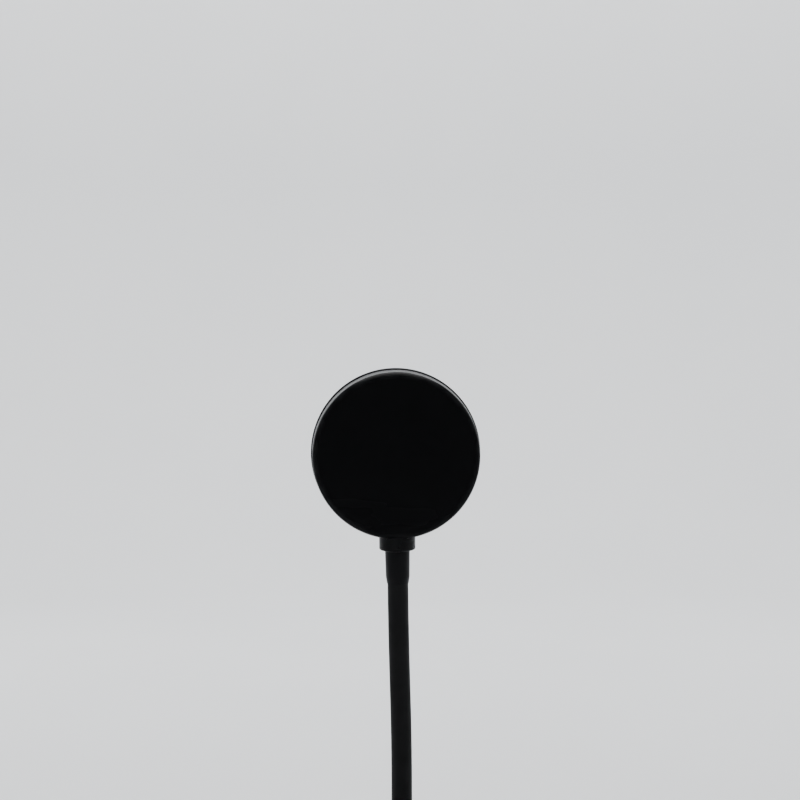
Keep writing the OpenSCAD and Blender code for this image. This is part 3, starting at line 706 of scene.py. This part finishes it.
def phosphor(name):
    """Yellow phosphor inside a radius, pale frame outside it, glowing softly."""
    material, tree, shader = new_material(name, FRAME_WHITE, 0.45,
                                          Emission_Strength=GLOW_STRENGTH)
    radius = radius_from_axis(tree, head_coordinates(tree))
    lit = map_range(tree, radius, (PHOSPHOR_R, PHOSPHOR_FADE_R), (1.0, 0.0))
    set_inputs(tree, shader, Base_Color=mix(tree, "RGBA", lit, FRAME_WHITE, PHOSPHOR_YELLOW),
               Emission_Color=mix(tree, "RGBA", lit, (0, 0, 0), GLOW_COLOUR))
    return material


def white_board(name):
    """White solder resist with a faint unevenness."""
    material, tree, shader = new_material(name, (0.78, 0.78, 0.76), 0.38)
    uneven = noise(tree, object_coordinates(tree), scale=350.0, detail=3.0)
    set_inputs(tree, shader, Roughness=map_range(tree, uneven, (0.0, 1.0), (0.3, 0.5)))
    return material


def colour_filter(name):
    """Dichroic glass: part of it mirrors and the rest lets through, and the tint runs over the
    distance from the axis. A ramp has two stops from the start, the first two ring colours."""
    material, tree, shader = new_material(name, RING_COLOURS[0][1], 0.04, IOR=1.5,
                                          Transmission_Weight=1.0, Metallic=0.35)
    radius = radius_from_axis(tree, head_coordinates(tree))
    share = map_range(tree, radius, (0.0, FILTER_R), (0.0, 1.0))
    ramp = add_node(tree, "ShaderNodeValToRGB", {"Fac": share})
    stops = ramp.color_ramp.elements
    for number, (place, colour) in enumerate(RING_COLOURS):
        stop = stops[number] if number < 2 else stops.new(place)
        stop.position, stop.color = place, (*colour, 1)
    set_inputs(tree, shader, Base_Color=ramp.outputs["Color"])
    return material


def clear_glass(name):
    """Polished lens glass with the faintest unevenness in its gloss."""
    material, tree, shader = new_material(name, (0.97, 0.99, 1.0), 0.01, IOR=1.49,
                                          Transmission_Weight=1.0)
    smear = noise(tree, object_coordinates(tree), scale=60.0, detail=5.0)
    set_inputs(tree, shader, Roughness=map_range(tree, smear, (0.5, 0.75), (0.0, 0.05)))
    return material


phosphor_gel = phosphor("phosphor_gel")
led_white = white_board("led_white")
filter_glass = colour_filter("filter_glass")
lens_glass = clear_glass("lens_glass")
print("optics made")

# %% [markdown]
# ## Silicone and foam
#
# The sleeve is matt black silicone: soft highlights, a faint length-wise drag from the die it was
# drawn through, and more lint than any other piece, because silicone holds dust. The foot pad is
# closed-cell foam with pores that a fingernail can feel, and painted shade darkens their colour.

# %% Soft finishes
SILICONE_BLACK, LINT_GREY = (0.0085, 0.0085, 0.009), (0.19, 0.185, 0.18)
DRAG_STRETCH = (2400, 2400, 60)
# The darker foam colour is painted shade for the hollows of the pores.
PAINTED_PORE_SHADE, FOAM_BLACK = (0.012, 0.012, 0.013), (0.034, 0.034, 0.036)


def silicone(name):
    """Matt silicone: drag lines along Z, soft mottle, and clinging lint."""
    material, tree, shader = new_material(name, SILICONE_BLACK, 0.55, Specular_IOR_Level=0.2)
    where = object_coordinates(tree)
    drag = noise(tree, stretched(tree, where, DRAG_STRETCH), scale=1.0, detail=2.0)
    add_relief(tree, shader, drag, 12 * MICRON)
    mottle = noise(tree, where, scale=90.0, detail=5.0)
    lint = use_group(tree, dust_group, Vector=where, Amount=0.6, Specks_per_Metre=1300.0)["Dust"]
    set_inputs(tree, shader, Roughness=map_range(tree, mottle, (0.3, 0.7), (0.48, 0.66)),
               Base_Color=mix(tree, "RGBA", lint, SILICONE_BLACK, LINT_GREY))
    return material


def closed_cell_foam(name):
    """Dark foam: cells of about half a millimetre, some of them open as pores, whose hollows are
    painted darker as shade.
    """
    material, tree, shader = new_material(name, FOAM_BLACK, 0.9, Specular_IOR_Level=0.25)
    cells = add_node(tree, "ShaderNodeTexVoronoi",
                     {"Vector": object_coordinates(tree), "Scale": 1900.0})
    pores = map_range(tree, cells.outputs["Distance"], (0.1, 0.5), (0.0, 1.0))
    add_relief(tree, shader, pores, 120 * MICRON)
    # Painted shade: the colour is darker in the hollows of the pores, where the relief sinks.
    set_inputs(tree, shader, Base_Color=mix(tree, "RGBA", pores, PAINTED_PORE_SHADE, FOAM_BLACK))
    return material


sleeve_silicone = silicone("sleeve_silicone")
pad_foam = closed_cell_foam("pad_foam")
print("soft finishes made")

# %% [markdown]
# ## Finishes onto the CAD pieces
#
# Each rigid piece keeps its CAD shape and gets its finish in its material slot.

# %% Give the pieces their finishes
FINISHES = {
    base_plastic: ["base_cover", "base_plate"],
    cuff_plastic: ["base_cuff", "head_cuff"],
    bezel_plastic: ["bezel_ring"],
    button_plastic: ["power_button"],
    shroud_plastic: ["light_shroud"],
    switch_plastic: ["tact_switch", "switch_plunger"],
    head_lacquer: ["head_shell"],
    collar_lacquer: ["base_collar", "head_collar", "lens_clamp"],
    steel: ["base_screws", "board_screws", "usb_socket", "base_washer", "base_nut",
            "base_ferrule", "head_ferrule", "head_nut", "heat_sink_screws", "led_screws",
            *[name for name in nodes if name.startswith("neck_core_")]],
    aluminium: ["heat_sink"],
    cast_iron: ["ballast"],
    green_board: ["control_board"],
    lead_jacket: ["base_lead", "head_lead"],
    seal_rubber: ["lens_gasket"],
    led_white: ["led_board"],
    phosphor_gel: ["led_emitter"],
    filter_glass: ["filter_disc"],
    lens_glass: ["lens"],
}


def finish_node(name, material):
    """Puts one material in the first slot of a CAD node."""
    slots = nodes[name].data.materials
    if slots:
        slots[0] = material
    else:
        slots.append(material)


for material, names in FINISHES.items():
    for name in names:
        finish_node(name, material)
print("finished nodes:", sum(len(names) for names in FINISHES.values()))

# %% [markdown]
# ## The rubber sleeve
#
# The sleeve is one tube on the real lamp. Here the neck bends at twelve pivots, so the sleeve is
# made in twelve stretches, each from the middle of one link to the middle of the next, with its
# pivot half way. Neighbouring stretches share the ring where they meet, so no seam shows between
# them.
#
# The centre line of a stretch is a cubic curve. It starts and ends at the middles of two links,
# in their directions, so it runs on smoothly from one stretch to the next.

# %% Centre line of the neck
SLEEVE_R = 5.0 * MM
SLEEVE_WALL = 1.0 * MM
RINGS, SIDES = 13, 64

neck_joints = sorted((j for j in joints if j["name"].startswith("neck_")),
                     key=lambda j: j["pos_m"][2])
pivots = np.array([j["pos_m"] for j in neck_joints])
link_vectors = np.diff(pivots, axis=0)
link_lengths = np.linalg.norm(link_vectors, axis=1, keepdims=True)


def sleeve_reach(node, start, direction):
    """How far a sleeve node reaches from start along a direction. Only its wall counts, not the
    thin lead inside it, so points near the axis are left out."""
    rel = points_of(node) - start
    along = rel @ direction
    radius = np.linalg.norm(rel - along[:, None] * direction, axis=1)
    return along[radius > SLEEVE_R - 2 * SLEEVE_WALL].max()


def link_axis(node):
    """Upward direction of a straight core link: the axis along which its points spread most."""
    points = np.unique(points_of(node).round(6), axis=0)
    axis = np.linalg.eigh(np.cov((points - points.mean(axis=0)).T))[1][:, -1]
    return axis * np.sign(axis[2])


last_link = f"{len(pivots):02d}"
first_axis, last_axis = link_axis("neck_core_00"), link_axis("neck_core_" + last_link)
foot_end = pivots[0] - first_axis * sleeve_reach("neck_sleeve_00", pivots[0], -first_axis)
head_end = pivots[-1] + last_axis * sleeve_reach("neck_sleeve_" + last_link, pivots[-1], last_axis)
middles = np.vstack([foot_end, (pivots[:-1] + pivots[1:]) / 2, head_end])
directions = np.vstack([first_axis, link_vectors / link_lengths, last_axis])
print("sleeve from", (foot_end / MM).round(1), "to", (head_end / MM).round(1))

# %% [markdown]
# ## Twelve stretches
#
# The outer rings of a stretch run up its centre line and the inner ones back down, which makes a
# tube with a wall, closed at both ends. A ring that two stretches share lies in the middle of a
# link, and both stretches agree on its place.


# %% Sleeve stretches
def cubic_between(a, b, toward_a, toward_b, t):
    """Points and tangents of the cubic that leaves a along toward_a and reaches b along toward_b,
    for all t at once: p = (2t3-3t2+1)a + (t3-2t2+t)A + (3t2-2t3)b + (t3-t2)B."""
    t = t[:, None]
    point = ((2 * t**3 - 3 * t**2 + 1) * a + (t**3 - 2 * t**2 + t) * toward_a
             + (3 * t**2 - 2 * t**3) * b + (t**3 - t**2) * toward_b)
    tangent = ((6 * t**2 - 6 * t) * a + (3 * t**2 - 4 * t + 1) * toward_a
               + (6 * t - 6 * t**2) * b + (3 * t**2 - 2 * t) * toward_b)
    return point, tangent / np.linalg.norm(tangent, axis=1, keepdims=True)


def tube_rings(centres, tangents, radius):
    """Rings round a path: ring(u) = centre + radius (cos u side + sin u front), where front is
    square to the tangent and to X, and side is square to both."""
    front = np.cross(tangents, np.array([1.0, 0.0, 0.0]))
    front /= np.linalg.norm(front, axis=1, keepdims=True)
    side = np.cross(front, tangents)
    u = np.linspace(0, 2 * math.pi, SIDES, endpoint=False)
    around = (np.cos(u)[None, :, None] * side[:, None, :]
              + np.sin(u)[None, :, None] * front[:, None, :])
    return centres[:, None, :] + radius * around


def sleeve_stretch(number):
    """One closed tube wall from the middle of a link to the middle of the next: the outer rings
    upward, then the inner rings downward, joined at both ends."""
    a, b = middles[number - 1], middles[number]
    reach = np.linalg.norm(b - a)
    centres, tangents = cubic_between(a, b, directions[number - 1] * reach,
                                      directions[number] * reach, np.linspace(0, 1, RINGS))
    outer = tube_rings(centres, tangents, SLEEVE_R)
    inner = tube_rings(centres[::-1], tangents[::-1], SLEEVE_R - SLEEVE_WALL)
    return grid_piece(f"sleeve_stretch_{number:02d}", np.vstack([outer, inner]),
                      sleeve_silicone, ends="joined")


def bend_over_pivot(piece):
    """Bakes the stretch's placement into its mesh."""
    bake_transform(piece)


for number in range(1, len(pivots) + 1):
    stretch = sleeve_stretch(number)
    bend_over_pivot(stretch)
    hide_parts(f"neck_sleeve_{number - 1:02d}", f"neck_sleeve_{number:02d}")

# %% [markdown]
# ## The foot pad
#
# A disc of foam, punched from a sheet, with both edges of its rim a little rounded by the punch.
# It is a surface of revolution, with the profile written as one array of radii and heights.

# %% Foot pad
PAD_SIDES = 160
FLAT_RINGS = np.array([0.25, 0.5, 0.75, 0.9])
EDGE_SHARE, EDGE_RINGS = 0.25, 6


def lathe(profile, sides):
    """Rings of a surface of revolution: each profile point (r, z) goes round the Z axis."""
    u = np.linspace(0, 2 * math.pi, sides, endpoint=False)
    r, z = profile[:, 0][:, None], profile[:, 1][:, None]
    return np.stack([r * np.cos(u), r * np.sin(u), z + 0 * u], axis=-1)


def foot_pad_profile():
    """From the middle of the underside outward, round the rim and back over the top. Each edge of
    the rim is a quarter round of radius e, a share of the pad's thickness: below, it is
    r = R - e + e sin t and z = e - e cos t, and above, the same upside down."""
    low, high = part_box("foot_pad")
    radius, height = (high.x - low.x) / 2, high.z - low.z
    edge = EDGE_SHARE * height
    turn = np.linspace(0, math.pi / 2, EDGE_RINGS)
    lower = np.stack([radius - edge + edge * np.sin(turn), edge - edge * np.cos(turn)], axis=1)
    upper = np.stack([radius - edge + edge * np.cos(turn), height - edge + edge * np.sin(turn)],
                     axis=1)
    flat = FLAT_RINGS[:, None] * (radius - edge)
    under = np.hstack([flat, np.zeros_like(flat)])
    top = np.hstack([flat[::-1], np.full_like(flat, height)])
    return np.vstack([under, lower, upper, top]) + np.array([0, low.z])


foam_pad = grid_piece("foam_pad", lathe(foot_pad_profile(), PAD_SIDES), pad_foam)
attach(foam_pad, "root")
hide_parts("foot_pad")

# %% [markdown]
# ## Studio
#
# The lamp stands in a round, pale studio: a floor that curves up into a wall on all sides, so
# every view has a plain background. A black object shows best as a dark shape before a bright
# wall, so the strongest light goes onto the wall in front of the lamp, as its own light does in
# the photograph. A softer one hangs overhead, and two strips draw highlights along the form.

# %% Floor and backdrop
FLOOR_R, FLOOR_RINGS = 1.3, 12
SWEEP_R, SWEEP_RINGS = 0.7, 24
WALL_H, WALL_RINGS = 2.4, 6
FIRST_R = 0.02
STUDIO_SIDES = 96


def studio_profile():
    """Profile of the studio bowl from the top in: upright wall, quarter circle, flat floor. The
    quarter circle is r = floor's radius + sweep's radius x sin t, z = sweep's radius x
    (1 - cos t)."""
    floor = np.stack([np.linspace(FIRST_R, FLOOR_R, FLOOR_RINGS), np.zeros(FLOOR_RINGS)], axis=1)
    turn = np.linspace(0, math.pi / 2, SWEEP_RINGS + 1)[1:]
    sweep = np.stack([FLOOR_R + SWEEP_R * np.sin(turn), SWEEP_R * (1 - np.cos(turn))], axis=1)
    up = np.linspace(SWEEP_R, WALL_H, WALL_RINGS + 1)[1:]
    wall = np.stack([np.full(WALL_RINGS, FLOOR_R + SWEEP_R), up], axis=1)
    return np.vstack([floor, sweep, wall])[::-1]


def studio_paint():
    """Matt pale paint with a faint cloudiness."""
    pale, paler = (0.70, 0.71, 0.72), (0.75, 0.755, 0.76)
    material, tree, shader = new_material("studio_paint", pale, 0.85)
    clouds = noise(tree, object_coordinates(tree), scale=3.0, detail=3.0)
    set_inputs(tree, shader, Base_Color=mix(tree, "RGBA", clouds, pale, paler))
    return material


studio = grid_piece("studio", lathe(studio_profile(), STUDIO_SIDES), studio_paint(),
                    ends="last")

# %% [markdown]
# ## Lights
#
# Each light is a rectangle, because a broad light gives soft shadows and long, calm highlights.
# The strips stand well clear of the studio's sweep: light leaves a rectangle on one side only, so
# one that came close to the sweep would draw the edge of its light on it.

# %% Lights
LIGHTS = {  # name: place, aim, size in metres, and power in watts
    "overhead": ((0, 0.3, 1.7), (0, 0, 0.1), (1.4, 1.4), 11),
    "backdrop": ((0, -0.7, 2.1), (0, -2.0, 0.5), (2.2, 0.8), 34),
    "left_strip": ((1.08, -0.64, 0.67), (0, 0, 0.15), (0.32, 0.96), 2.7),
    "right_strip": ((-1.08, -0.64, 0.63), (0, 0, 0.15), (0.32, 0.96), 2.05),
}
AIR_COLOUR, AIR_STRENGTH = (0.94, 0.96, 1.0), 0.4


def area_light(name, place, aim, size, power):
    """A rectangular soft light that points from place to aim."""
    data = bpy.data.lights.new(name, "AREA")
    data.shape, data.size, data.size_y = "RECTANGLE", size[0], size[1]
    data.energy = power
    light = bpy.data.objects.new(name, data)
    light.location = place
    light.rotation_euler = (Vector(aim) - Vector(place)).to_track_quat("-Z", "Y").to_euler()
    bpy.context.scene.collection.objects.link(light)


for name, values in LIGHTS.items():
    area_light(name, *values)

world = bpy.data.worlds.new("studio_air")
world.use_nodes = True
set_inputs(world.node_tree, world.node_tree.nodes["Background"], Color=AIR_COLOUR,
           Strength=AIR_STRENGTH)
bpy.context.scene.world = world
bpy.context.scene.view_settings.look = "AgX - Medium High Contrast"
print("lights:", len(bpy.data.lights))
